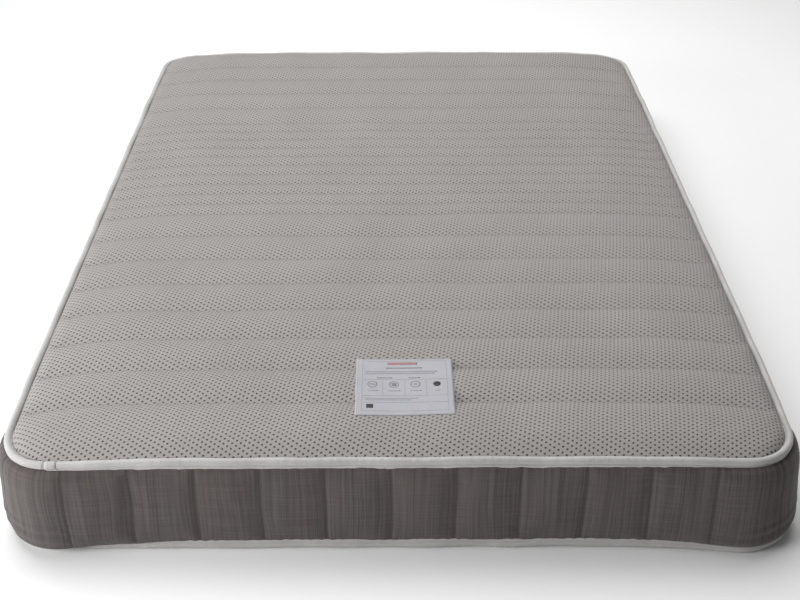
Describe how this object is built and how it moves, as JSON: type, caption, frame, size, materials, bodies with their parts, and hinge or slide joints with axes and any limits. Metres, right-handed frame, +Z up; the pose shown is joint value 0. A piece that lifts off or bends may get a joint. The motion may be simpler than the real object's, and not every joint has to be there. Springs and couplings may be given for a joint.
{
  "type": "mattress",
  "caption": "Double bed mattress with a crowned, cross-quilted mesh top, bound edges, a dark upholstered border, and pocketed coil springs in a foam frame inside.",
  "frame": {"origin": "on the floor, under the middle of the mattress", "axes": "+Z up, +Y along the length towards the head end, +X across the width to the right of someone standing at the foot end and looking at the head end"},
  "size_m": [1.35, 1.9, 0.215],
  "materials": {
    "knit": "air-mesh knit with rows of small holes, matt",
    "border_cloth": "dark warm grey slub weave, matt",
    "tape_cloth": "off-white knitted tape, soft sheen",
    "base_cloth": "plain woven underside cloth, matt",
    "label_cloth": "smooth white printed cloth",
    "thread": "polyester sewing thread",
    "dark_thread": "polyester sewing thread",
    "wadding": "polyester wadding",
    "backing": "thin non-woven sheet",
    "foam": "cut polyurethane foam, open cell, light for its size",
    "felt": "needled felt",
    "pocket_cloth": "thin non-woven, welded",
    "spring_steel": "drawn spring wire"
  },
  "bodies": {
    "root": {"base_panel": "base_cloth", "base_wadding": "wadding", "border_backing": "backing", "border_fabric": "border_cloth", "border_threads": "dark_thread", "border_wadding": "wadding", "bottom_felt": "felt", "bottom_scrim": "backing", "bottom_seam_edge": "wadding", "bottom_tape": "tape_cloth", "bottom_tape_join": "tape_cloth", "bottom_tape_thread": "thread", "care_label": "label_cloth", "coil_springs_zone_1": "spring_steel", "coil_springs_zone_2": "spring_steel", "coil_springs_zone_3": "spring_steel", "coil_springs_zone_4": "spring_steel", "coil_springs_zone_5": "spring_steel", "coil_springs_zone_6": "spring_steel", "coil_springs_zone_7": "spring_steel", "comfort_foam": "foam", "foam_rail_foot": "foam", "foam_rail_head": "foam", "foam_rail_left": "foam", "foam_rail_right": "foam", "label_thread": "thread", "pocket_string_01": "pocket_cloth", "pocket_string_02": "pocket_cloth", "pocket_string_03": "pocket_cloth", "pocket_string_04": "pocket_cloth", "pocket_string_05": "pocket_cloth", "pocket_string_06": "pocket_cloth", "pocket_string_07": "pocket_cloth", "pocket_string_08": "pocket_cloth", "pocket_string_09": "pocket_cloth", "pocket_string_10": "pocket_cloth", "pocket_string_11": "pocket_cloth", "pocket_string_12": "pocket_cloth", "pocket_string_13": "pocket_cloth", "pocket_string_14": "pocket_cloth", "pocket_string_15": "pocket_cloth", "pocket_string_16": "pocket_cloth", "pocket_string_17": "pocket_cloth", "pocket_string_18": "pocket_cloth", "pocket_string_19": "pocket_cloth", "quilting_threads": "thread", "top_backing": "backing", "top_felt": "felt", "top_panel": "knit", "top_scrim": "backing", "top_seam_edge": "wadding", "top_tape": "tape_cloth", "top_tape_join": "tape_cloth", "top_tape_thread": "thread", "top_wadding": "wadding"}
  },
  "joints": []
}
